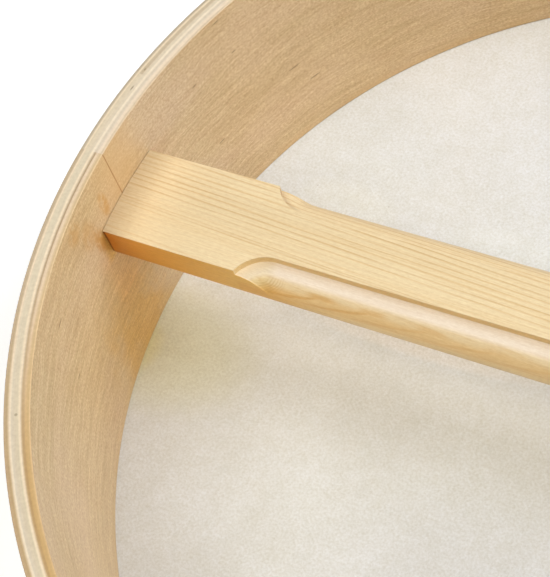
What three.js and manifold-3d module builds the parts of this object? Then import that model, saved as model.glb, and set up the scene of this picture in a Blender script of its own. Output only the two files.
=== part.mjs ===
// A single-headed frame drum that lies on its skin, open side up, with a wooden crossbar to hold it by.
// Millimetres, +Z up. The origin is at the centre of the underside, and the crossbar runs along X.

import * as THREE from 'three';
import { mergeVertices } from 'three/addons/utils/BufferGeometryUtils.js';
import Module from 'manifold-3d';

const wasm = await Module();
wasm.setup();

// Hoop: a ring of bent plywood. Its upper edge is the rim, and the skin bends over its lower outer edge.
const hoopOuterRadius = 225;
const hoopThickness = 7;
const hoopHeight = 101.5;
const rimRound = 1;
const bearingRound = 5;

// Lining: a thin strip bent round inside the hoop, its two ends butted behind one end of the crossbar.
const liningThickness = 2.7;
const glueLine = 0.3;
const liningButtGap = 0.4;
const liningButtAngle = THREE.MathUtils.degToRad(180.4);

// Head: a skin stretched over the lower edge and glued down round the outside of the hoop.
const skinThickness = 1;
const skinClearance = 0.3;
const skirtHeight = 30;

// Crossbar: a flat bar whose ends are cut to the curve of the lining.
const barWidth = 40.4;
const barThickness = 14.4;
const barBelowRim = 25.8;
const barEndClearance = 0.3;

// Grip: both upper edges of the crossbar are rounded over, below a square shoulder, between two plain blocks.
// The round stops in an arc at each end, as a router bit leaves it, with a bearing that rolls on the side. On the
// back the bit ran a little further out, so that its cut is narrower there and meets the side at a slight corner.
const frontBlockLength = 59.3;
const backBlockLength = 60;
const backBitOffset = 1.45;
const gripRound = 10;
const shoulderDepth = 3.2;
const bearingRadius = 4.75;
const bearingPlay = 0.05;
const bitOverrun = 5;

// How finely the round forms are faceted.
const ringSegments = 120;
const barEndSegments = 8;
const bitSegments = 48;
const cornerSteps = 6;
const rimSteps = 2;
const gripSteps = 8;

// Sizes and levels that follow from the ones above.
const hoopInnerRadius = hoopOuterRadius - hoopThickness;
const liningOuterRadius = hoopInnerRadius - glueLine;
const liningInnerRadius = liningOuterRadius - liningThickness;
const hoopBottom = skinThickness + skinClearance;
const rimLevel = hoopBottom + hoopHeight;
const barTop = rimLevel - barBelowRim;
const barBottom = barTop - barThickness;
const barEndRadius = liningInnerRadius - barEndClearance;
const bitRadius = bearingRadius + gripRound;

const hoopWood = new THREE.MeshStandardMaterial({ color: 0xdac6a0, roughness: 0.6, metalness: 0 });
const liningWood = new THREE.MeshStandardMaterial({ color: 0xd0b286, roughness: 0.6, metalness: 0 });
const barWood = new THREE.MeshStandardMaterial({ color: 0xf0d8ab, roughness: 0.5, metalness: 0 });
const skin = new THREE.MeshStandardMaterial({ color: 0xe9e3d8, roughness: 0.75, metalness: 0 });

// Points along a circular arc, with its angles in degrees.
function arcPoints(centreX, centreY, radius, fromAngle, toAngle, steps) {
  const points = [];
  for (let step = 0; step <= steps; step += 1) {
    const angle = THREE.MathUtils.degToRad(THREE.MathUtils.lerp(fromAngle, toAngle, step / steps));
    points.push(new THREE.Vector2(centreX + radius * Math.cos(angle), centreY + radius * Math.sin(angle)));
  }
  return points;
}

// One vertex per place, with no triangle that has two corners in the same place.
function weld(geometry) {
  const bare = geometry.clone();
  bare.deleteAttribute('normal');
  bare.deleteAttribute('uv');
  const merged = mergeVertices(bare);
  const corners = merged.index.array;
  const kept = [];
  for (let first = 0; first < corners.length; first += 3) {
    const triangle = [corners[first], corners[first + 1], corners[first + 2]];
    if (new Set(triangle).size === 3) {
      kept.push(...triangle);
    }
  }
  merged.setIndex(kept);
  return merged;
}

// A profile of radius and height turned about Z. It runs anticlockwise, so that its faces point out.
function revolve(profile, segments) {
  const geometry = new THREE.LatheGeometry(profile, segments);
  geometry.rotateX(Math.PI / 2);
  return weld(geometry);
}

function toSolid(geometry) {
  const welded = weld(geometry);
  return new wasm.Manifold(new wasm.Mesh({
    numProp: 3,
    vertProperties: welded.getAttribute('position').array,
    triVerts: Uint32Array.from(welded.index.array),
  }));
}

function toGeometry(solid) {
  const mesh = solid.getMesh();
  const geometry = new THREE.BufferGeometry();
  geometry.setAttribute('position', new THREE.BufferAttribute(mesh.vertProperties, mesh.numProp));
  geometry.setIndex(new THREE.BufferAttribute(mesh.triVerts, 1));
  return geometry;
}

function addPart(group, name, geometry, material, height) {
  const mesh = new THREE.Mesh(geometry, material);
  mesh.name = name;
  mesh.position.z = height;
  group.add(mesh);
}

// The hoop's section: square inside, rounded under the skin, with the rim's outer edge just eased.
function hoopGeometry() {
  const bearingCentre = hoopOuterRadius - bearingRound;
  const rimCentre = hoopOuterRadius - rimRound;
  const profile = [
    new THREE.Vector2(hoopInnerRadius, 0),
    ...arcPoints(bearingCentre, bearingRound, bearingRound, -90, 0, cornerSteps),
    ...arcPoints(rimCentre, hoopHeight - rimRound, rimRound, 0, 90, rimSteps),
    new THREE.Vector2(hoopInnerRadius, hoopHeight),
    new THREE.Vector2(hoopInnerRadius, 0),
  ];
  return revolve(profile, ringSegments);
}

// The lining is a full turn less the narrow gap where its ends meet.
function liningGeometry() {
  const halfGap = liningButtGap / 2 / liningInnerRadius;
  const start = liningButtAngle + halfGap;
  const end = liningButtAngle + 2 * Math.PI - halfGap;
  const plan = new THREE.Shape();
  plan.absarc(0, 0, liningOuterRadius, start, end, false);
  plan.absarc(0, 0, liningInnerRadius, end, start, true);
  plan.closePath();
  return weld(new THREE.ExtrudeGeometry(plan, {
    depth: hoopHeight,
    bevelEnabled: false,
    curveSegments: ringSegments / 2,
  }));
}

// The skin's inner side follows the hoop's lower corner at the clearance, and its outer side is one thickness off.
function headGeometry() {
  const cornerCentre = hoopOuterRadius - bearingRound;
  const cornerHeight = hoopBottom + bearingRound;
  const innerCorner = bearingRound + skinClearance;
  const outerCorner = innerCorner + skinThickness;
  const profile = [
    new THREE.Vector2(0, 0),
    ...arcPoints(cornerCentre, cornerHeight, outerCorner, -90, 0, cornerSteps),
    new THREE.Vector2(cornerCentre + outerCorner, skirtHeight),
    new THREE.Vector2(cornerCentre + innerCorner, skirtHeight),
    ...arcPoints(cornerCentre, cornerHeight, innerCorner, 0, -90, cornerSteps),
    new THREE.Vector2(0, skinThickness),
  ];
  return revolve(profile, ringSegments);
}

// One side of the router bit, from its axis out, with heights from the top of the bar.
function bitProfile() {
  const reach = gripRound + bearingPlay;
  const corner = arcPoints(bitRadius, -shoulderDepth - reach, reach, 180, 90, gripSteps);
  return [
    new THREE.Vector2(0, -shoulderDepth - reach),
    ...corner,
    new THREE.Vector2(bitRadius, bitOverrun),
    new THREE.Vector2(0, bitOverrun),
  ];
}

// What one pass of the bit takes away: the bit at both stops, and its outline drawn along the line between them.
// The offset is how far the bearing stays clear of the bar's side.
function gripCut(side, blockLength, offset) {
  const bitToSide = bearingRadius + offset;
  const bitLine = side * (barWidth / 2 + bitToSide);
  const stop = barEndRadius - blockLength - Math.sqrt(bitRadius ** 2 - bitToSide ** 2);
  const half = bitProfile();
  const otherHalf = half.map((point) => new THREE.Vector2(-point.x, point.y)).reverse();
  const outline = new THREE.Shape([...half, ...otherHalf]);
  const sweep = new THREE.ExtrudeGeometry(outline, { depth: 2 * stop, bevelEnabled: false });
  const alongBar = new THREE.Matrix4().makeBasis(
    new THREE.Vector3(0, 1, 0),
    new THREE.Vector3(0, 0, 1),
    new THREE.Vector3(1, 0, 0),
  );
  sweep.applyMatrix4(alongBar);
  sweep.translate(-stop, bitLine, barThickness);
  let cut = toSolid(sweep);
  for (const place of [-stop, stop]) {
    const bit = revolve(half, bitSegments);
    bit.translate(place, bitLine, barThickness);
    cut = cut.add(toSolid(bit));
  }
  return cut;
}

function crossbarGeometry() {
  const halfAngle = Math.asin(barWidth / 2 / barEndRadius);
  const plan = new THREE.Shape();
  plan.absarc(0, 0, barEndRadius, -halfAngle, halfAngle, false);
  plan.absarc(0, 0, barEndRadius, Math.PI - halfAngle, Math.PI + halfAngle, false);
  plan.closePath();
  const blank = new THREE.ExtrudeGeometry(plan, {
    depth: barThickness,
    bevelEnabled: false,
    curveSegments: barEndSegments / 2,
  });
  const shaped = toSolid(blank)
    .subtract(gripCut(-1, frontBlockLength, 0))
    .subtract(gripCut(1, backBlockLength, backBitOffset));
  return toGeometry(shaped);
}

const drum = new THREE.Group();
addPart(drum, 'head_skin', headGeometry(), skin, 0);
addPart(drum, 'hoop', hoopGeometry(), hoopWood, hoopBottom);
addPart(drum, 'hoop_lining', liningGeometry(), liningWood, hoopBottom);
addPart(drum, 'crossbar', crossbarGeometry(), barWood, barBottom);

export default drum;
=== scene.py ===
"""A frame drum on its skin, open side up: its detailed pieces, their materials, the light and the camera."""

import math

import bmesh
import bpy
from mathutils import Matrix, Vector


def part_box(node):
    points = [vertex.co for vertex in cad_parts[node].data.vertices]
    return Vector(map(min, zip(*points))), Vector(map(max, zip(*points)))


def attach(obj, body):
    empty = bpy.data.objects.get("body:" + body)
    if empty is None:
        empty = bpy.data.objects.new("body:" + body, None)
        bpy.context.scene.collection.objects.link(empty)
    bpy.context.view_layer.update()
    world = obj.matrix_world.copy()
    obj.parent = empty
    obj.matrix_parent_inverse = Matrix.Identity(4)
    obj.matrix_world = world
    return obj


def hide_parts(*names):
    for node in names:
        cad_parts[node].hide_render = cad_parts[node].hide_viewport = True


MM = 0.001

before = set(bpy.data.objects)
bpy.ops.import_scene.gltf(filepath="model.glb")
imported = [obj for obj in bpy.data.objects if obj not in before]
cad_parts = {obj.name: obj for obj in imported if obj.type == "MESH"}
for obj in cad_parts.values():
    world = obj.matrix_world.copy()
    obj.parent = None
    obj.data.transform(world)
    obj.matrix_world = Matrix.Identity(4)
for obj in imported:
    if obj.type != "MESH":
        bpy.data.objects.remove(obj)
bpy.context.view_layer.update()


# Sizes that the frame gives, in metres.


def radii(node):
    """The least and greatest distance of a node's vertices from the drum's axis."""
    reaches = [math.hypot(vertex.co.x, vertex.co.y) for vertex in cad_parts[node].data.vertices]
    return min(reaches), max(reaches)


HOOP_INNER, HOOP_OUTER = radii("hoop")
LINING_INNER, LINING_OUTER = radii("hoop_lining")
BAR_END = radii("crossbar")[1]
SKIN_OUTER = radii("head_skin")[1]
HOOP_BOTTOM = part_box("hoop")[0].z
RIM_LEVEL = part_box("hoop")[1].z
BAR_LOW, BAR_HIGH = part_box("crossbar")
BAR_HALF_WIDTH = BAR_HIGH.y
SKIRT_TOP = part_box("head_skin")[1].z

# Sizes of what the frame's boxes don't show.
BEARING_ROUND = 5 * MM
EDGE_EASE = 0.45 * MM
BUTT_ANGLE = math.radians(180.4)
BUTT_GAP = 0.03 * MM
GLUE_CLOSED = 0.02 * MM
GLUE_OPEN = 0.17 * MM
GLUE_OPEN_ARC = math.radians(17)

# Sizes of the crossbar's two router cuts, and of its eased edges.
GRIP_ROUND = 10 * MM
SHOULDER_DEPTH = 3.2 * MM
SHOULDER_FILLET = 0.3 * MM
FILLET_DEGREES = 3
BIT_BEARING = 4.75 * MM
BEARING_PLAY = 0.05 * MM
BIT_OVERRUN = 10 * MM
FRONT_BLOCK = 59.3 * MM
BACK_BLOCK = 60 * MM
BACK_OFFSET = 1.45 * MM
BAR_EASE = 0.4 * MM
BAR_EASE_ANGLE = math.radians(25)

# Sizes of the skin. Its turned mesh stops just short of the axis, in a pinhole too fine to see.
SKIN_THICKNESS = 1 * MM
SKIN_EASE = 0.45 * MM
SKIN_PINHOLE = 0.1 * MM

# How finely the round forms are faceted.
RING_STEPS = 480
FILLET_STEPS = 4
BAR_END_STEPS = 24
GRIP_STEPS = 24
SHOULDER_STEPS = 5
BIT_STEPS = 72
EASE_STEPS = 3

# Edges sharper than these, in degrees, stay sharp, and faces more level than this share show the plies.
RING_SHARP = 50
BAR_SHARP = 35
LEVEL_SHARE = 0.5


# Shapes.


def arc(centre, radius, start, end, steps):
    """Points along a circular arc, with its angles in degrees."""
    points = []
    for step in range(steps + 1):
        angle = math.radians(start + (end - start) * step / steps)
        points.append((centre[0] + radius * math.cos(angle), centre[1] + radius * math.sin(angle)))
    return points


def fillet(before, corner, after, radius):
    """A corner of an outline rounded to a radius, as points from one side to the other."""
    corner = Vector(corner)
    back = (Vector(before) - corner).normalized()
    on = (Vector(after) - corner).normalized()
    half = back.angle(on) / 2
    centre = corner + (back + on).normalized() * radius / math.sin(half)
    start = corner + back * radius / math.tan(half) - centre
    end = corner + on * radius / math.tan(half) - centre
    turn = start.angle_signed(end)
    points = []
    for step in range(FILLET_STEPS + 1):
        spoke = start.copy()
        spoke.rotate(Matrix.Rotation(-turn * step / FILLET_STEPS, 2))
        points.append(tuple(centre + spoke))
    return points


def rounded(corners):
    """A closed outline from corners of (x, y, radius)."""
    points = []
    count = len(corners)
    for index, (x, y, radius) in enumerate(corners):
        if radius == 0:
            points.append((x, y))
            continue
        before = corners[index - 1][:2]
        after = corners[(index + 1) % count][:2]
        points.extend(fillet(before, (x, y), after, radius))
    return points


def join_loops(work, loops):
    """Faces from each closed loop of corners to the next."""
    for near, far in zip(loops, loops[1:]):
        count = len(near)
        for index in range(count):
            after = (index + 1) % count
            work.faces.new((near[index], near[after], far[after], far[index]))


def close_ends(work, loops):
    """A face over the first loop and one over the last."""
    work.faces.new(list(reversed(loops[0])))
    work.faces.new(loops[-1])


def as_mesh(work, name):
    """A mesh with what has been built so far, which is then let go."""
    mesh = bpy.data.meshes.new(name)
    work.to_mesh(mesh)
    work.free()
    return mesh


def turned(name, profile, start, end, shift=None):
    """A closed profile of (radius, height) turned about Z, with flat ends unless the turn is full."""
    full = math.isclose(end - start, math.tau)
    work = bmesh.new()
    rings = []
    for step in range(RING_STEPS if full else RING_STEPS + 1):
        angle = start + (end - start) * step / RING_STEPS
        ring = []
        for radius, height in profile:
            if shift:
                radius, height = shift(angle, radius, height)
            ring.append(work.verts.new((radius * math.cos(angle), radius * math.sin(angle), height)))
        rings.append(ring)
    if full:
        rings.append(rings[0])
    join_loops(work, rings)
    if not full:
        close_ends(work, rings)
    bmesh.ops.recalc_face_normals(work, faces=work.faces)
    return as_mesh(work, name)


def extruded(name, outline, low, high):
    """A closed outline in plan, given height."""
    work = bmesh.new()
    loops = [[work.verts.new((x, y, level)) for x, y in outline] for level in (low, high)]
    join_loops(work, loops)
    close_ends(work, loops)
    return as_mesh(work, name)


def smooth(mesh, angle):
    """Smooth shading, except over edges sharper than an angle in degrees."""
    work = bmesh.new()
    work.from_mesh(mesh)
    for face in work.faces:
        face.smooth = True
    for edge in work.edges:
        edge.smooth = len(edge.link_faces) == 2 and edge.calc_face_angle(0) < math.radians(angle)
    work.to_mesh(mesh)
    work.free()


def in_scene(name, content):
    """A new object in the scene from a mesh, a light or a camera."""
    thing = bpy.data.objects.new(name, content)
    bpy.context.scene.collection.objects.link(thing)
    return thing


def as_piece(name, mesh, material, slot, *nodes):
    """Makes a finished object from a mesh: it rides on the drum and stands for its CAD nodes."""
    piece = in_scene(name, mesh)
    mesh.materials.append(material)
    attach(piece, "root")
    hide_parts(*nodes)


def show_plies(mesh, material):
    """Gives the level faces of a ring, its rim and its foot, a material of their own."""
    mesh.materials.append(material)
    for face in mesh.polygons:
        if abs(face.normal.z) > LEVEL_SHARE:
            face.material_index = 1


# Materials. Every texture is worked out from a point's place on the drum, in millimetres.

# The curve of the sRGB standard: its straight start, and the offset and the power of the rest.
SRGB_START = 0.04045
SRGB_SLOPE = 12.92
SRGB_OFFSET = 0.055
SRGB_POWER = 2.4


def srgb(red, green, blue):
    """A colour as a screen shows it, from 0 to 255, in Blender's linear values."""
    channels = []
    for value in (red, green, blue):
        share = value / 255
        if share <= SRGB_START:
            channels.append(share / SRGB_SLOPE)
        else:
            channels.append(((share + SRGB_OFFSET) / (1 + SRGB_OFFSET)) ** SRGB_POWER)
    return (*channels, 1.0)


# Noise values mostly lie between these two, round their middle.
NOISE_LOW = 0.25
NOISE_HIGH = 0.75
NOISE_MIDDLE = 0.5

# A ramp's new stops start halfway and are then moved to their places.
HALFWAY = 0.5


class Graph:
    """A material's nodes. Each method takes sockets or plain values and gives a socket back."""

    def __init__(self, name):
        self.material = bpy.data.materials.new(name)
        self.material.use_nodes = True
        self.tree = self.material.node_tree
        self.tree.nodes.clear()
        metres = self.add("ShaderNodeTexCoord").outputs["Object"]
        millimetres = self.add("ShaderNodeVectorMath", {0: metres, "Scale": 1 / MM}, operation="SCALE")
        self.place = millimetres.outputs[0]
        parts = self.add("ShaderNodeSeparateXYZ", {0: self.place})
        self.x, self.y, self.z = parts.outputs

    def add(self, kind, inputs=None, **settings):
        node = self.tree.nodes.new(kind)
        for name, value in settings.items():
            setattr(node, name, value)
        for name, value in (inputs or {}).items():
            if isinstance(value, bpy.types.NodeSocket):
                self.tree.links.new(value, node.inputs[name])
            else:
                node.inputs[name].default_value = value
        return node

    def math(self, operation, first, second=0.0):
        return self.add("ShaderNodeMath", {0: first, 1: second}, operation=operation).outputs[0]

    def plus(self, first, second):
        return self.math("ADD", first, second)

    def minus(self, first, second):
        return self.math("SUBTRACT", first, second)

    def over(self, first, second):
        return self.math("DIVIDE", first, second)

    def product(self, *values):
        """The product of several values or masks."""
        result = values[0]
        for value in values[1:]:
            result = self.math("MULTIPLY", result, value)
        return result

    def greater(self, first, second):
        return self.math("MAXIMUM", first, second)

    def squares(self, first, second):
        """The sum of two squares."""
        return self.plus(self.product(first, first), self.product(second, second))

    def vector(self, x, y, z):
        return self.add("ShaderNodeCombineXYZ", {0: x, 1: y, 2: z}).outputs[0]

    def scaled(self, x, y, z):
        """The place with each direction scaled by itself: a small scale stretches a texture that way."""
        factors = (x, y, z)
        return self.add("ShaderNodeVectorMath", {0: self.place, 1: factors}, operation="MULTIPLY").outputs[0]

    def noise(self, vector, detail=2.0, roughness=0.5, distortion=0.0):
        inputs = {
            "Vector": vector,
            "Scale": 1.0,
            "Detail": detail,
            "Roughness": roughness,
            "Distortion": distortion,
        }
        return self.add("ShaderNodeTexNoise", inputs).outputs["Fac"]

    def swing(self, noise, reach):
        """How far a noise value swings from its middle, with its whole range spread over a reach."""
        return self.product(self.minus(noise, NOISE_MIDDLE), reach)

    def step(self, value, low, high):
        """0 below low, 1 above high, and a smooth rise between. High may be the lower of the two."""
        inputs = {"Value": value, "From Min": low, "From Max": high}
        node = self.add("ShaderNodeMapRange", inputs, interpolation_type="SMOOTHSTEP", clamp=True)
        return node.outputs["Result"]

    def band(self, value, centre, half, soft):
        """1 within half of the centre, falling smoothly to 0 over the soft width beyond."""
        away = self.math("ABSOLUTE", self.minus(value, centre))
        return self.step(away, half + soft, half)

    def linear(self, value, low, high, to_low, to_high):
        """A straight run from one value at low to another at high, level beyond both."""
        inputs = {"Value": value, "From Min": low, "From Max": high, "To Min": to_low, "To Max": to_high}
        return self.add("ShaderNodeMapRange", inputs, clamp=True).outputs["Result"]

    def ellipse(self, first, second, middle, half_sizes, core=0.0):
        """1 in an ellipse over two values, falling to 0 at its edge from a core, a share of its area."""
        along = self.over(self.minus(first, middle[0]), half_sizes[0])
        across = self.over(self.minus(second, middle[1]), half_sizes[1])
        return self.step(self.squares(along, across), 1.0, core)

    def mix(self, factor, first, second, blend="MIX"):
        node = self.add("ShaderNodeMix", {0: factor, 6: first, 7: second}, data_type="RGBA", blend_type=blend)
        return node.outputs[2]

    def lay(self, colour, mask, strength, paint):
        """A paint over a colour where a mask is 1, at a strength from 0 to 1."""
        return self.mix(self.product(mask, strength), colour, paint)

    def shade(self, colour, mask, factors):
        """A colour multiplied by factors where a mask is 1."""
        shaded = self.mix(1.0, colour, (*factors, 1.0), "MULTIPLY")
        return self.mix(mask, colour, shaded)

    def tinted(self, colour, value, dark, pale):
        """A colour multiplied by one that runs from dark to pale as a noise value rises."""
        share = self.linear(value, NOISE_LOW, NOISE_HIGH, 0.0, 1.0)
        tint = self.mix(share, (*dark, 1.0), (*pale, 1.0))
        return self.add("ShaderNodeVectorMath", {0: colour, 1: tint}, operation="MULTIPLY").outputs[0]

    def ramp(self, value, stops):
        """A colour that runs through stops of (value, colour)."""
        low, high = stops[0][0], stops[-1][0]
        share = self.linear(value, low, high, 0.0, 1.0)
        node = self.add("ShaderNodeValToRGB", {0: share})
        points = node.color_ramp.elements
        while len(points) < len(stops):
            points.new(HALFWAY)
        for point, (place, colour) in zip(points, stops):
            point.position = (place - low) / (high - low)
            point.color = colour
        return node.outputs["Color"]

    def radius(self):
        return self.math("SQRT", self.squares(self.x, self.y))

    def bearing(self):
        """The angle about the drum's axis in degrees, from 0 to 360."""
        turn = self.math("ARCTAN2", self.product(self.y, -1.0), self.product(self.x, -1.0))
        return self.plus(self.product(turn, math.degrees(1)), 180.0)

    def along_hoop(self, along, across, height):
        """The place with the way round the hoop and the way up it each at its own scale."""
        x = self.product(self.x, along)
        y = self.product(self.y, along)
        return self.vector(x, y, self.product(height, across))

    def bump(self, height, distance):
        return self.add("ShaderNodeBump", {"Height": height, "Distance": distance}).outputs["Normal"]

    def finish(self, colour, roughness, normal=None, **plain):
        """Closes the graph with the surface shader and gives the material back."""
        inputs = {"Base Color": colour, "Roughness": roughness}
        if normal is not None:
            inputs["Normal"] = normal
        inputs.update({name.replace("_", " "): value for name, value in plain.items()})
        shader = self.add("ShaderNodeBsdfPrincipled", inputs)
        self.add("ShaderNodeOutputMaterial", {"Surface": shader.outputs["BSDF"]})
        return self.material


# How the figures below are given. A texture is how fast it changes to the millimetre, along X, Y and Z or
# along the hoop and across it. A range is where something starts and where it is full. A band is its middle,
# its half width and how softly it ends. A fade is two values, and how strong something is at each of them.
# Factors and tints are what a colour is multiplied by, in red, green and blue.

# Birch veneer: the waves that its fibres follow, its textures, its colours, and how they darken and lighten.
VENEER_SWAY = (0.03, 0.03, 0.04)
VENEER_SWAY_HEIGHT = 8.0
VENEER_RIPPLE = (0.2, 0.2, 0.25)
VENEER_RIPPLE_HEIGHT = 0.5
VENEER_FIBRES = (0.08, 1.6)
VENEER_FIGURE = (0.024, 0.42)
VENEER_FIGURE_RANGE = (0.32, 0.68)
VENEER_GRAINS = (1.0, 1.0, 1.6)
VENEER_CLOUDS = (0.018, 0.018, 0.03)
VENEER_CLOUD_RANGE = (0.4, 0.7)
VENEER_DARK = srgb(208, 176, 127)
VENEER_PALE = srgb(220, 189, 141)
VENEER_CLOUD = srgb(220, 188, 144)
VENEER_FIBRE_TINTS = ((0.88, 0.81, 0.76), (1.105, 1.17, 1.22))
VENEER_GRAIN_TINTS = ((0.85, 0.77, 0.73), (1.135, 1.21, 1.26))
VENEER_ROUGHNESS = 0.45
VENEER_RELIEF = 0.04 * MM


def veneer(graph):
    """Pale birch veneer bent round the drum: short wavy fibres along the hoop, and soft blotches."""
    sway = graph.noise(graph.scaled(*VENEER_SWAY))
    ripple = graph.noise(graph.scaled(*VENEER_RIPPLE), detail=1.0)
    height = graph.plus(graph.z, graph.product(sway, VENEER_SWAY_HEIGHT))
    height = graph.plus(height, graph.product(ripple, VENEER_RIPPLE_HEIGHT))
    fibres = graph.noise(graph.along_hoop(*VENEER_FIBRES, height), roughness=0.6)
    figure = graph.noise(graph.along_hoop(*VENEER_FIGURE, height), detail=3.0, roughness=0.6)
    grains = graph.noise(graph.scaled(*VENEER_GRAINS), detail=1.0)
    clouds = graph.noise(graph.scaled(*VENEER_CLOUDS))
    colour = graph.mix(graph.step(figure, *VENEER_FIGURE_RANGE), VENEER_DARK, VENEER_PALE)
    colour = graph.mix(graph.step(clouds, *VENEER_CLOUD_RANGE), colour, VENEER_CLOUD)
    colour = graph.tinted(colour, fibres, *VENEER_FIBRE_TINTS)
    colour = graph.tinted(colour, grains, *VENEER_GRAIN_TINTS)
    return colour, fibres


def veneer_finish(graph, colour, fibres):
    return graph.finish(colour, VENEER_ROUGHNESS, graph.bump(fibres, VENEER_RELIEF))


# On the lining a place is a bearing about the drum in degrees, and a depth below the rim in millimetres.
LINING_MOTTLE = (0.09, 0.09, 0.07)

# Painted shade of the bar on the lining beside and below its end, darker and more orange for its warm bounce:
# its two sides and its depths, how far its sides wander, and how much of it the fibres leave.
BAR_SHADE_SIDES = ((179.0, 184.5), (196.0, 187.5))
BAR_SHADE_DEPTHS = (30.0, 84.0)
BAR_SHADE_WANDER = 10.0
BAR_SHADE_FIBRE_FADE = (0.3, 0.7, 1.0, 0.75)
BAR_SHADE_FACTORS = (1.07, 0.9, 0.53)

# Places in the painted shade with a painted warm bounce from the bar, one more orange by its front corner and
# one redder under its end, as a band of bearings, a band of depths and factors.
BAR_BOUNCE_PLACES = (
    ((185.5, 0.3, 1.2), (35.0, 6.0, 4.5), (0.98, 0.86, 0.4)),
    ((185.0, 1.5, 2.5), (52.0, 8.0, 16.0), (1.15, 1.07, 0.97)),
)

# The last centimetre above the skin.
FOOT_DEPTHS = (94.0, 101.0)
FOOT_MOTTLE_RANGE = (0.3, 0.6)
FOOT_STRENGTH = 0.4
FOOT_COLOUR = srgb(214, 176, 118)

# Paler wood in two places round the drum.
PALE_BEARINGS = ((173.0, 2.0, 11.0), (214.0, 5.0, 13.0))
PALE_FACTORS = (0.99, 1.025, 1.09)

# Orange blotches beside the seam, as (bearing, depth, half length and half height in mm, strength), and the
# streaks that break them up. The last, by the bar's front corner, is partly painted shade of that corner.
BLOTCHES = (
    (183.4, 18.0, 3.6, 8.5, 0.85),
    (189.1, 7.5, 6.5, 6.5, 0.45),
    (187.4, 18.0, 6.5, 10.0, 0.35),
    # Partly painted shade of the bar's front corner.
    (186.2, 28.0, 4.5, 9.0, 0.7),
)
BLOTCH_COLOUR = srgb(205, 148, 72)
BLOTCH_STREAKS = (0.3, 0.16)
BLOTCH_STREAK_RANGE = (0.3, 0.55)

# A painted warm reflection of the bar's end on the wall just above it, before the seam.
BAR_REFLECTION_BEARINGS = (179.5, 1.0, 5.0)
BAR_REFLECTION_DEPTHS = (42.0, 22.0)
BAR_REFLECTION_STRENGTH = 0.45
BAR_REFLECTION_COLOUR = srgb(226, 184, 122)

# The dark line of the seam, as a band in millimetres from its middle, and the depths where it fades out.
SEAM_BAND = (0.0, 0.08, 0.34)
SEAM_DEPTHS = (44.0, 26.0)
SEAM_STRENGTH = 0.7
SEAM_COLOUR = srgb(176, 112, 52)

# Small dark marks on the lining, as (bearing, depth, half length in mm).
FLECKS = (
    (160.7, 3.0, 2.0),
    (153.5, 58.2, 3.6),
    (165.4, 62.6, 2.4),
    (166.0, 22.3, 1.6),
    (159.9, 24.2, 1.6),
    (151.4, 71.5, 3.6),
    (197.8, 18.3, 3.5),
    (199.8, 45.5, 1.8),
)
FLECK_HALF_WIDTH = 0.36
FLECK_CORE = 0.2
FLECK_STRENGTH = 0.75
FLECK_COLOUR = srgb(126, 82, 40)


def lining_material():
    """Veneer with painted shade and bounce under the bar's end, the paler places, the blotches, a painted
    reflection of the bar's end, the seam and the flecks near the bar's end.
    """
    graph = Graph("lining_veneer")
    colour, fibres = veneer(graph)
    bearing = graph.bearing()
    depth = graph.minus(RIM_LEVEL / MM, graph.z)
    arm = math.radians(1) * LINING_INNER / MM
    mottle = graph.noise(graph.scaled(*LINING_MOTTLE), detail=3.0)

    # Painted shade of the bar, darker and more orange, beside and below its end.
    side = graph.plus(bearing, graph.swing(mottle, BAR_SHADE_WANDER))
    sides = [graph.step(side, *reach) for reach in BAR_SHADE_SIDES]
    bar_shade = graph.product(*sides, graph.step(depth, *BAR_SHADE_DEPTHS))
    bar_shade = graph.product(bar_shade, graph.linear(fibres, *BAR_SHADE_FIBRE_FADE))
    colour = graph.shade(colour, bar_shade, BAR_SHADE_FACTORS)
    # Painted warm bounce from the bar's side and underside.
    for bearings, depths, factors in BAR_BOUNCE_PLACES:
        place = graph.product(graph.band(bearing, *bearings), graph.band(depth, *depths))
        colour = graph.shade(colour, place, factors)
    foot = graph.product(graph.step(depth, *FOOT_DEPTHS), graph.step(mottle, *FOOT_MOTTLE_RANGE))
    colour = graph.lay(colour, foot, FOOT_STRENGTH, FOOT_COLOUR)

    pale = graph.plus(*[graph.band(bearing, *place) for place in PALE_BEARINGS])
    colour = graph.shade(colour, pale, PALE_FACTORS)
    streak = graph.noise(graph.along_hoop(*BLOTCH_STREAKS, depth), distortion=0.8)
    streak = graph.step(streak, *BLOTCH_STREAK_RANGE)
    for blotch_bearing, blotch_depth, half_length, half_height, strength in BLOTCHES:
        middle = (blotch_bearing, blotch_depth)
        blotch = graph.ellipse(bearing, depth, middle, (half_length / arm, half_height))
        colour = graph.lay(colour, graph.product(blotch, streak), strength, BLOTCH_COLOUR)
    # Painted warm reflection of the bar's end.
    bar_reflection = graph.product(graph.band(bearing, *BAR_REFLECTION_BEARINGS), graph.step(depth, *BAR_REFLECTION_DEPTHS))
    colour = graph.lay(colour, bar_reflection, BAR_REFLECTION_STRENGTH, BAR_REFLECTION_COLOUR)

    seam_away = graph.product(graph.minus(bearing, math.degrees(BUTT_ANGLE)), arm)
    seam = graph.product(graph.band(seam_away, *SEAM_BAND), graph.step(depth, *SEAM_DEPTHS))
    colour = graph.lay(colour, seam, SEAM_STRENGTH, SEAM_COLOUR)
    for fleck_bearing, fleck_depth, half_length in FLECKS:
        middle = (fleck_bearing, fleck_depth)
        fleck = graph.ellipse(bearing, depth, middle, (half_length / arm, FLECK_HALF_WIDTH), FLECK_CORE)
        colour = graph.lay(colour, fleck, FLECK_STRENGTH, FLECK_COLOUR)
    return veneer_finish(graph, colour, fibres)


def hoop_material():
    graph = Graph("hoop_veneer")
    return veneer_finish(graph, *veneer(graph))
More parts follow.
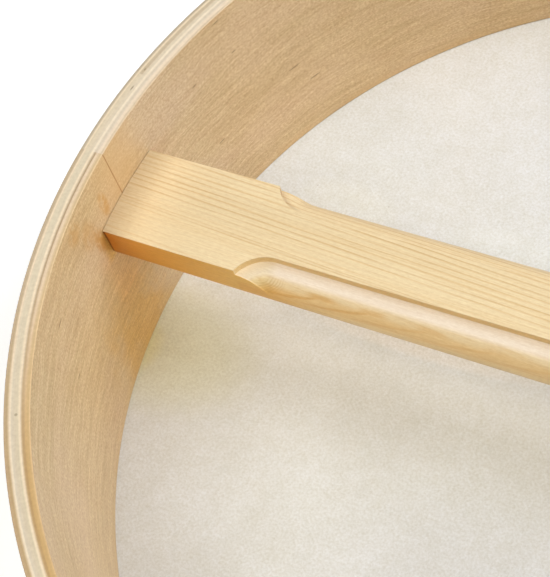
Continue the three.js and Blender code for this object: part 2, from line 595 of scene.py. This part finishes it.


# The plies' colours across the rim, as (radius in mm, colour), in three places round the hoop: before the
# seam, just after it, and further on. The lining's edge is pale near the seam, where its colours hold a
# painted highlight, and golden further on.
RIM_BEFORE_SEAM = (
    (214.6, srgb(230, 200, 159)),
    (215.0, srgb(230, 201, 163)),
    (215.4, srgb(221, 194, 157)),
    (215.8, srgb(231, 206, 172)),
    (216.4, srgb(245, 221, 190)),
    (217.0, srgb(244, 221, 192)),
    (217.8, srgb(230, 210, 182)),
    (218.3, srgb(228, 208, 180)),
    (219.1, srgb(250, 231, 201)),
    (219.5, srgb(250, 230, 200)),
    (219.9, srgb(233, 214, 184)),
    (222.6, srgb(232, 211, 177)),
    (223.1, srgb(249, 226, 192)),
    (223.4, srgb(241, 219, 184)),
    (223.8, srgb(206, 186, 155)),
    (224.2, srgb(198, 179, 151)),
    (225.0, srgb(210, 192, 167)),
)
RIM_AFTER_SEAM = (
    (214.6, srgb(232, 198, 147)),
    (215.1, srgb(233, 201, 153)),
    (215.6, srgb(218, 187, 141)),
    (216.2, srgb(226, 196, 154)),
    (217.0, srgb(241, 214, 178)),
    (217.6, srgb(226, 198, 163)),
    (217.9, srgb(202, 174, 139)),
    (218.4, srgb(202, 176, 141)),
    (218.9, srgb(245, 221, 186)),
    (219.4, srgb(253, 231, 197)),
    (219.8, srgb(237, 216, 184)),
    (220.2, srgb(228, 210, 178)),
    (221.8, srgb(230, 212, 180)),
    (222.5, srgb(236, 214, 181)),
    (222.9, srgb(253, 229, 195)),
    (223.3, srgb(226, 202, 165)),
    (223.8, srgb(202, 176, 141)),
    (225.0, srgb(210, 188, 157)),
)
RIM_FURTHER_ON = (
    (214.6, srgb(224, 188, 137)),
    (215.1, srgb(228, 192, 141)),
    (215.6, srgb(211, 174, 118)),
    (216.8, srgb(206, 167, 109)),
    (217.3, srgb(191, 152, 100)),
    (217.8, srgb(194, 158, 112)),
    (218.3, srgb(226, 198, 158)),
    (218.7, srgb(246, 223, 189)),
    (219.1, srgb(240, 219, 185)),
    (219.5, srgb(221, 202, 168)),
    (221.0, srgb(222, 203, 173)),
    (221.8, srgb(223, 205, 178)),
    (222.2, srgb(241, 222, 192)),
    (222.6, srgb(241, 219, 185)),
    (223.0, srgb(218, 191, 150)),
    (223.5, srgb(196, 164, 118)),
    (225.0, srgb(200, 169, 130)),
)

# The ply edges' textures, and how the plies wander in and out.
RIM_WANDER = (0.03, 0.03, 0.03)
RIM_WANDER_REACH = 0.35
RIM_STREAKS = (0.07, 2.6)
RIM_STREAK_TINTS = ((0.95, 0.94, 0.93), (1.04, 1.05, 1.06))
RIM_GRAINS = (0.8, 0.8, 0.8)
RIM_GRAIN_TINTS = ((0.95, 0.94, 0.93), (1.05, 1.06, 1.07))
RIM_ROUGHNESS = 0.5
RIM_RELIEF = 0.03 * MM

# The middle ply is tan up to its butt joint: its band of radii in mm, and the range of bearings of the joint.
MIDDLE_PLY = (221.9, 0.45, 0.5)
MIDDLE_PLY_BUTT = (170.3, 170.2)
MIDDLE_PLY_COLOUR = srgb(214, 190, 156)

# Ranges of bearings over which the plies' colours change. Away from this end of the bar they run on as they
# are just after the seam.
SEAM_DEGREES = math.degrees(BUTT_ANGLE)
RIM_AFTER_RANGE = (SEAM_DEGREES - 0.03, SEAM_DEGREES + 0.03)
RIM_FURTHER_RANGE = (SEAM_DEGREES + 12.0, SEAM_DEGREES + 38.0)
RIM_AWAY_RANGE = (240.0, 330.0)

# Dark marks in the plies' edges, as (bearing in degrees, radius, half length and half width in mm, strength).
RIM_MARKS = (
    (210.2, 220.2, 0.7, 0.8, 0.5),
    (172.1, 221.0, 1.6, 0.35, 0.7),
    (169.6, 221.8, 0.7, 0.35, 0.7),
)
RIM_MARK_CORE = 0.2
RIM_MARK_COLOUR = srgb(138, 112, 76)


def rim_material():
    """The cut edges of the plies, with the butt joints of the lining and of the middle ply."""
    graph = Graph("ply_edges")
    bearing = graph.bearing()
    wander = graph.noise(graph.scaled(*RIM_WANDER))
    radius = graph.plus(graph.radius(), graph.swing(wander, RIM_WANDER_REACH))
    middle_ply = graph.product(graph.band(radius, *MIDDLE_PLY), graph.step(bearing, *MIDDLE_PLY_BUTT))
    before = graph.mix(middle_ply, graph.ramp(radius, RIM_BEFORE_SEAM), MIDDLE_PLY_COLOUR)
    after = graph.ramp(radius, RIM_AFTER_SEAM)
    further = graph.ramp(radius, RIM_FURTHER_ON)
    colour = graph.mix(graph.step(bearing, *RIM_AFTER_RANGE), before, after)
    # Round from the seam, the lining's edge loses its painted highlight and turns golden.
    colour = graph.mix(graph.step(bearing, *RIM_FURTHER_RANGE), colour, further)
    colour = graph.mix(graph.step(bearing, *RIM_AWAY_RANGE), colour, after)
    streaks = graph.noise(graph.along_hoop(*RIM_STREAKS, radius), detail=3.0, roughness=0.6)
    grains = graph.noise(graph.scaled(*RIM_GRAINS), detail=1.0)
    colour = graph.tinted(colour, streaks, *RIM_STREAK_TINTS)
    colour = graph.tinted(colour, grains, *RIM_GRAIN_TINTS)
    arm = math.radians(1) * HOOP_INNER / MM
    for mark_bearing, mark_radius, half_length, half_width, strength in RIM_MARKS:
        middle = (mark_bearing, mark_radius)
        mark = graph.ellipse(bearing, radius, middle, (half_length / arm, half_width), RIM_MARK_CORE)
        colour = graph.lay(colour, mark, strength, RIM_MARK_COLOUR)
    return graph.finish(colour, RIM_ROUGHNESS, graph.bump(streaks, RIM_RELIEF))


# On the bar a place is X and Y, a depth below its top, or a distance from its end, in millimetres.

# Growth lines of the pine: their spacing, where one of them lies near the bar's left end, how far they drift
# across the bar for each millimetre along it from there and each millimetre down, and how they wobble.
GROWTH_SPACING = 2.32
GROWTH_START = 3.3
GROWTH_ORIGIN = 200.0
GROWTH_LEAN = 0.054
GROWTH_DIP = 0.35
GROWTH_WOBBLE = (0.01, 0.2, 0.12)
GROWTH_WOBBLE_REACH = 1.6

# Each line's slow rise and quick fall, as shares of the spacing, and how the lines fade to the front and in
# patches.
GROWTH_RISE = (0.64, 0.97)
GROWTH_FALL = (0.1, 0.0)
GROWTH_FRONT_FADE = (0.0, 4.0, 0.3, 1.0)
GROWTH_PATCHES = (0.018, 0.35, 0.35)
GROWTH_PATCH_FADE = (0.3, 0.65, 0.35, 1.0)

# Two lines that lie apart from the rest, in front of them.
GROWTH_PAIR = ((-3.2, 0.05, 0.4), (-4.4, 0.1, 0.45))
GROWTH_PAIR_FADE = (0.3, 0.6, 0.3, 0.8)

# The colours of the plain wood, and the darker threads in it.
PINE_PALE = srgb(243, 218, 172)
PINE_LINE = srgb(221, 181, 122)
PINE_LINE_STRENGTH = 0.8
PINE_THREADS = (0.012, 1.3, 0.5)
PINE_THREAD_RANGE = (0.45, 0.75)
PINE_THREAD_STRENGTH = 0.45
PINE_THREAD_COLOUR = srgb(234, 198, 140)

# Fine fibres and flecks over everything on the bar.
PINE_FIBRES = (0.04, 2.4, 2.4)
PINE_FLECKS = (0.5, 1.6, 1.6)
PINE_TINTS = ((0.945, 0.92, 0.89), (1.05, 1.07, 1.10))
PINE_ROUGHNESS = 0.38
PINE_RELIEF = 0.02 * MM


def plain_pine(graph, below):
    """Pine with its growth lines, strong over the back half of the bar and faint in front."""
    drift = graph.product(graph.plus(graph.x, GROWTH_ORIGIN), GROWTH_LEAN)
    dip = graph.product(below, GROWTH_DIP)
    wobble = graph.noise(graph.scaled(*GROWTH_WOBBLE))
    across = graph.plus(graph.plus(graph.y, drift), dip)
    across = graph.plus(across, graph.swing(wobble, GROWTH_WOBBLE_REACH))
    phase = graph.math("FRACT", graph.over(graph.minus(across, GROWTH_START), GROWTH_SPACING))
    line = graph.greater(graph.step(phase, *GROWTH_RISE), graph.step(phase, *GROWTH_FALL))
    patchy = graph.noise(graph.scaled(*GROWTH_PATCHES), detail=1.0)
    front_fade = graph.linear(across, *GROWTH_FRONT_FADE)
    line = graph.product(line, graph.product(front_fade, graph.linear(patchy, *GROWTH_PATCH_FADE)))
    pair = graph.plus(*[graph.band(across, *place) for place in GROWTH_PAIR])
    line = graph.greater(line, graph.product(pair, graph.linear(patchy, *GROWTH_PAIR_FADE)))
    ways = zip((graph.x, across, graph.z), PINE_THREADS)
    threads = graph.noise(graph.vector(*[graph.product(way, scale) for way, scale in ways]), roughness=0.6)
    colour = graph.lay(PINE_PALE, line, PINE_LINE_STRENGTH, PINE_LINE)
    threads = graph.step(threads, *PINE_THREAD_RANGE)
    return graph.lay(colour, threads, PINE_THREAD_STRENGTH, PINE_THREAD_COLOUR)


# Where the router cuts are, as a range of depths and one of distances from the bar's end, and the range of Y
# over which the bar's back turns into its front.
CUT_DEPTHS = (3.0, 3.2)
CUT_DISTANCES = (57.0, 58.5)
FRONT_SIDE = (2.0, -2.0)

# The rounded edge: pale at its top with a painted sheen, and deeper below, partly the pine's own colour and
# partly painted shade where it turns down from the light.
ROUND_SHEEN_DEPTHS = (5.4, 4.0)
ROUND_SHEEN_COLOUR = srgb(241, 221, 194)
ROUND_DEEP_DEPTHS = (5.4, 8.2)
ROUND_DEEP_FADE = (60.0, 150.0, 1.0, 0.8)
ROUND_DEEP_COLOUR = srgb(241, 206, 147)
ROUND_RIPPLE = (0.06, 0.15, 0.15)

# Its flames are dark orange lines that swing up to a point: where along the bar each comes to its point and
# how dark it is.
FLAMES = (
    (-119.0, 1.0),
    (-98.0, 0.8),
    (-74.0, 0.45),
    (-48.0, 0.35),
    (-20.0, 0.3),
    (14.0, 0.4),
    (52.0, 0.3),
    (88.0, 0.5),
)

# How deep a flame's point is, how far its line falls away from there and over what length, the line's band of
# depths, the ranges before the point where the line sets in and fades out, and the two bands of its dark tip.
FLAME_RIPPLE_REACH = 2.0
FLAME_DEPTH = 5.8
FLAME_FALL = 5.2
FLAME_FALL_LENGTH = 16.0
FLAME_LINE = (0.0, 0.15, 0.6)
FLAME_FIRST = (-1.0, 1.5)
FLAME_LAST = (38.0, 16.0)
FLAME_TIP_DEPTHS = (6.3, 0.3, 1.1)
FLAME_TIP = (1.5, 2.0, 6.0)
FLAME_STRENGTH = 0.62
FLAME_COLOUR = srgb(224, 172, 94)

# A small knot's fan of fine lines at the start of the round, in a ring about a place given as X, Y and Z.
KNOT = (-147.5, -13.5, 73.0)
KNOT_RIPPLE_REACH = 3.0
KNOT_LINE_SPACING = 0.5
KNOT_LINE_RANGE = (0.1, 0.5)
KNOT_RING = (8.5, 1.0, 4.0)
KNOT_DEPTHS = (4.2, 6.0)
KNOT_STRENGTH = 0.35
KNOT_COLOUR = srgb(205, 158, 88)


def round_figure(graph, colour, below, from_end, front_cut):
    """The front round's painted sheen on its top and its deeper foot, partly painted shade, with its flames
    and its knot.
    """
    # Painted sheen on the round's top.
    sheen = graph.product(front_cut, graph.step(below, *ROUND_SHEEN_DEPTHS))
    colour = graph.mix(sheen, colour, ROUND_SHEEN_COLOUR)
    # Deeper colour below, partly painted shade.
    deep = graph.product(front_cut, graph.step(below, *ROUND_DEEP_DEPTHS))
    deep = graph.product(deep, graph.linear(from_end, *ROUND_DEEP_FADE))
    colour = graph.mix(deep, colour, ROUND_DEEP_COLOUR)
    ripple = graph.noise(graph.scaled(*ROUND_RIPPLE))
    depth = graph.plus(below, graph.swing(ripple, FLAME_RIPPLE_REACH))
    for point, darkness in FLAMES:
        before = graph.minus(point, graph.x)
        bend = graph.math("EXPONENT", graph.over(before, -FLAME_FALL_LENGTH))
        fall = graph.product(graph.minus(1.0, bend), FLAME_FALL)
        away = graph.minus(graph.minus(depth, FLAME_DEPTH), fall)
        reach = graph.product(graph.step(before, *FLAME_FIRST), graph.step(before, *FLAME_LAST))
        stroke = graph.product(graph.band(away, *FLAME_LINE), reach)
        tip = graph.product(graph.band(depth, *FLAME_TIP_DEPTHS), graph.band(before, *FLAME_TIP))
        flame = graph.product(front_cut, graph.greater(stroke, tip))
        colour = graph.lay(colour, flame, darkness * FLAME_STRENGTH, FLAME_COLOUR)
    knot = graph.add("ShaderNodeVectorMath", {0: graph.place, 1: KNOT}, operation="DISTANCE")
    from_knot = knot.outputs["Value"]
    spread = graph.plus(from_knot, graph.product(ripple, KNOT_RIPPLE_REACH))
    fan = graph.step(graph.math("PINGPONG", spread, KNOT_LINE_SPACING), *KNOT_LINE_RANGE)
    fan = graph.product(front_cut, fan, graph.band(from_knot, *KNOT_RING), graph.step(below, *KNOT_DEPTHS))
    return graph.lay(colour, fan, KNOT_STRENGTH, KNOT_COLOUR)


# The square shoulder above the round, darker on the back with painted shade of the back cut's shoulder wall,
# as a band of depths and a range of distances from the bar's side.
SHOULDER_DEPTHS = (1.7, 1.2, 0.3)
SHOULDER_INSET = (0.2, 0.6)
SHOULDER_STRENGTH = 0.75
SHOULDER_BACK_SHADE = srgb(178, 126, 66)
SHOULDER_FRONT_COLOUR = srgb(238, 201, 134)

# The bar's flat sides, below the eased edge of the top, as (distance from the bar's end in mm, colour). Their
# orange deepens towards the end, partly the pine's own colour and partly painted shade and warm bounce by the
# lining, and their first half millimetre is a painted shadow of the gap at the end.
SIDE_INSET = (0.28, 0.06)
SIDE_DEPTHS = (0.15, 0.45)
SIDE_STOPS = (
    (0.0, srgb(158, 84, 12)),
    (0.4, srgb(158, 84, 12)),
    (1.0, srgb(220, 142, 50)),
    (14.0, srgb(230, 163, 70)),
    (60.0, srgb(241, 198, 112)),
    (110.0, srgb(244, 216, 162)),
)

# The start of the rounds: orange low down, and on the front golden over the whole of it.
START_DEPTHS = (6.2, 9.5)
START_DISTANCES = (92.0, 66.0)
START_STRENGTH = 0.7
START_COLOUR = srgb(236, 184, 102)
GOLDEN_DISTANCES = (75.0, 68.0)
GOLDEN_INSET = (0.2, 0.5)
GOLDEN_FACTORS = (0.89, 0.86, 0.73)

# Painted shade from the lining on the top's first centimetre.
END_SHADE_DISTANCES = (15.0, 1.0)
END_SHADE_DEPTHS = (1.0, 0.5)
END_SHADE_FACTORS = (0.79, 0.79, 0.79)


def pine_material():
    """Lacquered pine: fine growth lines along the bar, orange sides with painted shade near the end, and a
    pale round with a painted sheen and flame figure.
    """
    graph = Graph("pine")
    below = graph.minus(BAR_HIGH.z / MM, graph.z)
    from_end = graph.minus(BAR_END / MM, graph.radius())
    inset = graph.minus(BAR_HALF_WIDTH / MM, graph.math("ABSOLUTE", graph.y))
    in_cut = graph.product(graph.step(below, *CUT_DEPTHS), graph.step(from_end, *CUT_DISTANCES))
    front = graph.step(graph.y, *FRONT_SIDE)
    front_cut = graph.product(in_cut, front)
    colour = plain_pine(graph, below)
    colour = round_figure(graph, colour, below, from_end, front_cut)

    shoulder = graph.product(graph.band(below, *SHOULDER_DEPTHS), graph.step(inset, *SHOULDER_INSET))
    # On the back, the shoulder's dark colour is painted shade.
    shoulder_colour = graph.mix(front, SHOULDER_BACK_SHADE, SHOULDER_FRONT_COLOUR)
    colour = graph.lay(colour, shoulder, SHOULDER_STRENGTH, shoulder_colour)
    side = graph.product(graph.step(inset, *SIDE_INSET), graph.step(below, *SIDE_DEPTHS))
    # The sides' ramp holds painted shade near the end and a painted shadow of the gap at it.
    colour = graph.mix(side, colour, graph.ramp(from_end, SIDE_STOPS))
    start = graph.product(in_cut, graph.step(below, *START_DEPTHS), graph.step(from_end, *START_DISTANCES))
    colour = graph.lay(colour, start, START_STRENGTH, START_COLOUR)
    golden = graph.product(front_cut, graph.step(from_end, *GOLDEN_DISTANCES))
    golden = graph.product(golden, graph.step(inset, *GOLDEN_INSET))
    colour = graph.shade(colour, golden, GOLDEN_FACTORS)
    # Painted shade by the lining at the bar's end.
    end_shade = graph.product(graph.step(from_end, *END_SHADE_DISTANCES), graph.step(below, *END_SHADE_DEPTHS))
    colour = graph.shade(colour, end_shade, END_SHADE_FACTORS)

    fibres = graph.noise(graph.scaled(*PINE_FIBRES), detail=3.0, roughness=0.6)
    flecks = graph.noise(graph.scaled(*PINE_FLECKS), roughness=0.6)
    for grain in (fibres, flecks):
        colour = graph.tinted(colour, grain, *PINE_TINTS)
    return graph.finish(colour, PINE_ROUGHNESS, graph.bump(fibres, PINE_RELIEF))


# The skin's textures and colours.
SKIN_CLOUDS = (0.02, 0.02, 0.02)
SKIN_CLOUD_RANGE = (0.3, 0.7)
SKIN_MOTTLE = (0.16, 0.16, 0.16)
SKIN_MOTTLE_TINTS = ((0.955, 0.95, 0.925), (1.04, 1.045, 1.065))
SKIN_GRAINS = (0.9, 0.9, 0.9)
SKIN_GRAIN_TINTS = ((0.895, 0.88, 0.84), (1.105, 1.12, 1.16))
SKIN_PALE = srgb(229, 228, 221)
SKIN_GREY = srgb(222, 220, 211)
SKIN_ROUGHNESS = 0.6
SKIN_RELIEF = 0.02 * MM

# The skin's inner face, a range of heights, carries patches of painted light and shade: a yellow painted
# bounce in the bar's shadow and painted light under the end of the bar, and a little painted shade, painted
# light and cooler
# painted light further in: the middle and the half sizes of each patch along and across the bar, in
# millimetres, and its factors.
SKIN_FACE_HEIGHTS = (0.3, 0.7)
SKIN_PAINTED_LIGHT = (
    # Painted warm bounce in the bar's shadow by its end, stronger in the corner.
    (-216.0, -27.0, 64.0, 38.0, (1.0, 0.985, 0.79)),
    (-219.0, -31.0, 15.0, 17.0, (1.05, 1.0, 0.77)),
    # Painted light under the bar's left end.
    (-208.0, 9.0, 52.0, 17.0, (1.16, 1.15, 1.12)),
    # Painted shade, cooler painted light and painted shade further in.
    (-25.0, -95.0, 100.0, 65.0, (0.94, 0.93, 0.945)),
    (-100.0, 120.0, 90.0, 75.0, (1.0, 1.0, 1.03)),
    (-185.0, 90.0, 70.0, 55.0, (0.935, 0.95, 0.965)),
    # Painted light beside the bar's back edge and under its front edge.
    (-162.0, 60.0, 30.0, 17.0, (1.1, 1.1, 1.08)),
    (-86.0, 59.0, 36.0, 15.0, (1.08, 1.09, 1.09)),
    (-103.0, 8.0, 64.0, 6.5, (1.1, 1.05, 1.0)),
)

# The skirt on the outside is yellower all round.
SKIRT_FACTORS = (1.0, 0.935, 0.82)

# A few dark specks, one at most to each cell of a pattern.
SPECK_CELLS = 0.055
SPECK_DISTANCES = (0.028, 0.012)
SPECK_GRAIN_RANGE = (0.4, 0.55)
SPECK_STRENGTH = 0.5
SPECK_COLOUR = srgb(150, 136, 112)


def skin_material():
    """Off-white skin: a fine speckle, a soft mottle, a few dark specks, and patches of painted light and
    shade inside.
    """
    graph = Graph("skin")
    clouds = graph.noise(graph.scaled(*SKIN_CLOUDS), detail=4.0)
    mottle = graph.noise(graph.scaled(*SKIN_MOTTLE), detail=3.0, roughness=0.6, distortion=0.5)
    grains = graph.noise(graph.scaled(*SKIN_GRAINS), roughness=0.7)
    colour = graph.mix(graph.step(clouds, *SKIN_CLOUD_RANGE), SKIN_PALE, SKIN_GREY)
    colour = graph.tinted(colour, mottle, *SKIN_MOTTLE_TINTS)
    colour = graph.tinted(colour, grains, *SKIN_GRAIN_TINTS)
    radius = graph.radius()
    inside = graph.step(radius, HOOP_INNER / MM, LINING_INNER / MM)
    inside = graph.product(inside, graph.step(graph.z, *SKIN_FACE_HEIGHTS))
    for middle_x, middle_y, half_x, half_y, factors in SKIN_PAINTED_LIGHT:
        patch = graph.ellipse(graph.x, graph.y, (middle_x, middle_y), (half_x, half_y))
        colour = graph.shade(colour, graph.product(inside, patch), factors)
    colour = graph.shade(colour, graph.step(radius, HOOP_INNER / MM, HOOP_OUTER / MM), SKIRT_FACTORS)
    pattern = {"Vector": graph.place, "Scale": SPECK_CELLS, "Randomness": 1.0}
    cells = graph.add("ShaderNodeTexVoronoi", pattern)
    near = graph.step(cells.outputs["Distance"], *SPECK_DISTANCES)
    speck = graph.product(near, graph.step(grains, *SPECK_GRAIN_RANGE))
    colour = graph.lay(colour, speck, SPECK_STRENGTH, SPECK_COLOUR)
    return graph.finish(colour, SKIN_ROUGHNESS, graph.bump(grains, SKIN_RELIEF))


# The floor glows more where the softboxes don't reach: a fade over millimetres from the drum's middle.
FLOOR_COLOUR = srgb(245, 245, 245)
FLOOR_GLOW_FADE = (280.0, 2500.0, 0.46, 0.98)
FLOOR_ROUGHNESS = 0.9


def floor_material():
    """A pale lit table, so that the drum throws next to no shadow."""
    graph = Graph("floor")
    glow = graph.linear(graph.radius(), *FLOOR_GLOW_FADE)
    return graph.finish(
        FLOOR_COLOUR,
        FLOOR_ROUGHNESS,
        Specular_IOR_Level=0.0,
        Emission_Color=FLOOR_COLOUR,
        Emission_Strength=glow,
    )


# Pieces.


def make_hoop(plies):
    """The hoop: eased inside, rounded under the skin, with its plies showing on the rim."""
    profile = rounded([
        (HOOP_INNER, HOOP_BOTTOM, EDGE_EASE),
        (HOOP_OUTER, HOOP_BOTTOM, BEARING_ROUND),
        (HOOP_OUTER, RIM_LEVEL, EDGE_EASE),
        (HOOP_INNER, RIM_LEVEL, 0),
    ])
    mesh = turned("hoop_body", profile, 0, math.tau)
    smooth(mesh, RING_SHARP)
    as_piece("hoop_body", mesh, hoop_material(), "hoop_plywood", "hoop")
    show_plies(mesh, plies)


def glued(angle, radius, height):
    """The lining lies against the hoop, but its glue line gapes for a way from the seam on."""
    if radius < LINING_OUTER:
        return radius, height
    open_share = max(0, 1 - (angle - BUTT_ANGLE) / GLUE_OPEN_ARC)
    return HOOP_INNER - GLUE_CLOSED - (GLUE_OPEN - GLUE_CLOSED) * math.sqrt(open_share), height


def make_lining(plies):
    """The lining: not quite a full turn, so that its ends meet at the seam."""
    half_gap = BUTT_GAP / 2 / LINING_INNER
    profile = rounded([
        (LINING_INNER, HOOP_BOTTOM, EDGE_EASE),
        (LINING_OUTER, HOOP_BOTTOM, 0),
        (LINING_OUTER, RIM_LEVEL, 0),
        (LINING_INNER, RIM_LEVEL, EDGE_EASE),
    ])
    mesh = turned("lining_strip", profile, BUTT_ANGLE + half_gap, BUTT_ANGLE + math.tau - half_gap, glued)
    smooth(mesh, RING_SHARP)
    as_piece("lining_strip", mesh, lining_material(), "lining_wood", "hoop_lining")
    show_plies(mesh, plies)


def grip_cutter(name, side, block, offset):
    """What a router bit takes away as it runs along one upper edge, at an offset, between its two stops."""
    bit = BIT_BEARING + GRIP_ROUND
    reach = GRIP_ROUND + BEARING_PLAY
    bit_to_side = BIT_BEARING + offset
    stop = BAR_END - block - math.sqrt(bit ** 2 - bit_to_side ** 2)
    line = side * (BAR_HALF_WIDTH + bit_to_side)
    base = BAR_HIGH.z - SHOULDER_DEPTH
    profile = arc((bit, base - reach), reach, 180, 90 + FILLET_DEGREES, GRIP_STEPS)
    corner = (bit - SHOULDER_FILLET, base + SHOULDER_FILLET)
    profile += arc(corner, SHOULDER_FILLET, FILLET_DEGREES - 90, 0, SHOULDER_STEPS)
    profile.append((bit, BAR_HIGH.z + BIT_OVERRUN))
    work = bmesh.new()
    loops = []
    for radius, height in profile:
        half_turn = arc((stop, line), radius, -90, 90, BIT_STEPS)
        other_half = [(-x, 2 * line - y) for x, y in half_turn]
        loops.append([work.verts.new((x, y, height)) for x, y in half_turn + other_half])
    join_loops(work, loops)
    close_ends(work, loops)
    return in_scene(name, as_mesh(work, name))


def make_crossbar():
    """The bar: a blank whose ends follow the lining, with both router cuts taken away and its edges eased."""
    half_angle = math.degrees(math.asin(BAR_HALF_WIDTH / BAR_END))
    outline = []
    for middle in (0, 180):
        outline += arc((0, 0), BAR_END, middle - half_angle, middle + half_angle, BAR_END_STEPS)
    blank = in_scene("blank", extruded("blank", outline, BAR_LOW.z, BAR_HIGH.z))
    cutters = [
        grip_cutter("front_cutter", -1, FRONT_BLOCK, 0),
        grip_cutter("back_cutter", 1, BACK_BLOCK, BACK_OFFSET),
    ]
    for cutter in cutters:
        cut = blank.modifiers.new(cutter.name, "BOOLEAN")
        cut.operation = "DIFFERENCE"
        cut.solver = "EXACT"
        cut.object = cutter
    ease = blank.modifiers.new("ease", "BEVEL")
    ease.width = BAR_EASE
    ease.segments = EASE_STEPS
    ease.limit_method = "ANGLE"
    ease.angle_limit = BAR_EASE_ANGLE
    shaped = blank.evaluated_get(bpy.context.evaluated_depsgraph_get())
    mesh = bpy.data.meshes.new_from_object(shaped)
    mesh.name = "crossbar_piece"
    for spent in [blank, *cutters]:
        bpy.data.objects.remove(spent)
    smooth(mesh, BAR_SHARP)
    as_piece("crossbar_piece", mesh, pine_material(), "crossbar_pine", "crossbar")


def make_skin():
    """The skin: flat under the hoop, bent over the hoop's lower edge and up round its outside."""
    skirt_inner = SKIN_OUTER - SKIN_THICKNESS
    inner_round = BEARING_ROUND + skirt_inner - HOOP_OUTER
    outer_round = inner_round + SKIN_THICKNESS
    profile = rounded([
        (SKIN_PINHOLE, 0, 0),
        (SKIN_OUTER, 0, outer_round),
        (SKIN_OUTER, SKIRT_TOP, SKIN_EASE),
        (skirt_inner, SKIRT_TOP, SKIN_EASE),
        (skirt_inner, SKIN_THICKNESS, inner_round),
        (SKIN_PINHOLE, SKIN_THICKNESS, 0),
    ])
    mesh = turned("skin_head", profile, 0, math.tau)
    smooth(mesh, RING_SHARP)
    as_piece("skin_head", mesh, skin_material(), "drum_skin", "head_skin")


FLOOR_HALF = 4000 * MM
FLOOR_LOW = -20 * MM
FLOOR_TOP = -0.2 * MM


def make_floor():
    corners = [(x * FLOOR_HALF, y * FLOOR_HALF) for x, y in ((-1, -1), (1, -1), (1, 1), (-1, 1))]
    mesh = extruded("floor", corners, FLOOR_LOW, FLOOR_TOP)
    floor = in_scene("floor", mesh)
    mesh.materials.append(floor_material())


# Light and camera.

# Softboxes round the drum: azimuth from +X towards +Y and elevation in degrees, width in metres, power in
# watts and colour.
COOL_LIGHT = (0.95, 1.0, 1.11)
WARM_LIGHT = (1.0, 1.0, 0.95)
SOFTBOXES = (
    ("key_high", 25, 56, 0.8, 14.8, COOL_LIGHT),
    ("key_low", 45, 36, 0.8, 10.0, COOL_LIGHT),
    ("front", 260, 65, 0.8, 10.3, WARM_LIGHT),
    ("front_left", 220, 55, 0.55, 5.5, WARM_LIGHT),
    ("right", 350, 25, 0.55, 5.9, WARM_LIGHT),
    ("left", 180, 25, 0.55, 3.9, COOL_LIGHT),
)
SOFTBOX_DISTANCE = 1.8
BACKDROP_BRIGHTNESS = 0.95
WHITE = (1.0, 1.0, 1.0, 1.0)


def softbox(name, azimuth, elevation, width, power, colour):
    """A square area light that faces the drum."""
    level = math.cos(math.radians(elevation))
    place = Vector((
        level * math.cos(math.radians(azimuth)),
        level * math.sin(math.radians(azimuth)),
        math.sin(math.radians(elevation)),
    )) * SOFTBOX_DISTANCE
    data = bpy.data.lights.new(name, "AREA")
    data.size = width
    data.energy = power
    data.color = colour
    light = in_scene(name, data)
    light.location = place
    light.rotation_mode = "QUATERNION"
    light.rotation_quaternion = (-place).to_track_quat("-Z", "Y")


def make_light():
    """The softboxes give all the light, and the backdrop behind the floor is only seen."""
    world = bpy.data.worlds.new("studio")
    bpy.context.scene.world = world
    world.use_nodes = True
    tree = world.node_tree
    seen = tree.nodes.new("ShaderNodeLightPath").outputs["Is Camera Ray"]
    brightness = tree.nodes.new("ShaderNodeMath")
    brightness.operation = "MULTIPLY"
    brightness.inputs[1].default_value = BACKDROP_BRIGHTNESS
    tree.links.new(seen, brightness.inputs[0])
    background = tree.nodes["Background"]
    background.inputs["Color"].default_value = WHITE
    tree.links.new(brightness.outputs[0], background.inputs["Strength"])
    for box in SOFTBOXES:
        softbox(*box)


# The camera's pose, found from the photograph's ellipses and edges: its place from the middle of the rim, its
# angles in radians, and its focal length and the picture's taller side in pixels.
CAMERA_PLACE = Vector((118.63, -273.95, 503.67)) * MM
CAMERA_AZIMUTH = 0.7915
CAMERA_ELEVATION = 0.976
CAMERA_ROLL = -0.4018
FOCAL_PIXELS = 1721.77
FRAME_HEIGHT = 577
SENSOR = 36.0


def make_camera():
    """The camera looks down into the drum from in front of the bar, rolled on its line of sight."""
    back = Vector((
        math.sin(CAMERA_AZIMUTH) * math.cos(CAMERA_ELEVATION),
        -math.cos(CAMERA_AZIMUTH) * math.cos(CAMERA_ELEVATION),
        math.sin(CAMERA_ELEVATION),
    ))
    level = Vector((0, 0, 1)).cross(back).normalized()
    upright = back.cross(level)
    right = level * math.cos(CAMERA_ROLL) + upright * math.sin(CAMERA_ROLL)
    up = upright * math.cos(CAMERA_ROLL) - level * math.sin(CAMERA_ROLL)
    data = bpy.data.cameras.new("camera")
    data.sensor_width = SENSOR
    data.lens = FOCAL_PIXELS * SENSOR / FRAME_HEIGHT
    camera = in_scene("camera", data)
    turn = Matrix((right, up, back)).transposed().to_4x4()
    camera.matrix_world = Matrix.Translation(CAMERA_PLACE + Vector((0, 0, RIM_LEVEL))) @ turn
    bpy.context.scene.camera = camera


bpy.context.scene.view_settings.view_transform = "Standard"
make_floor()
ply_edges = rim_material()
make_hoop(ply_edges)
make_lining(ply_edges)
make_crossbar()
make_skin()
make_light()
make_camera()
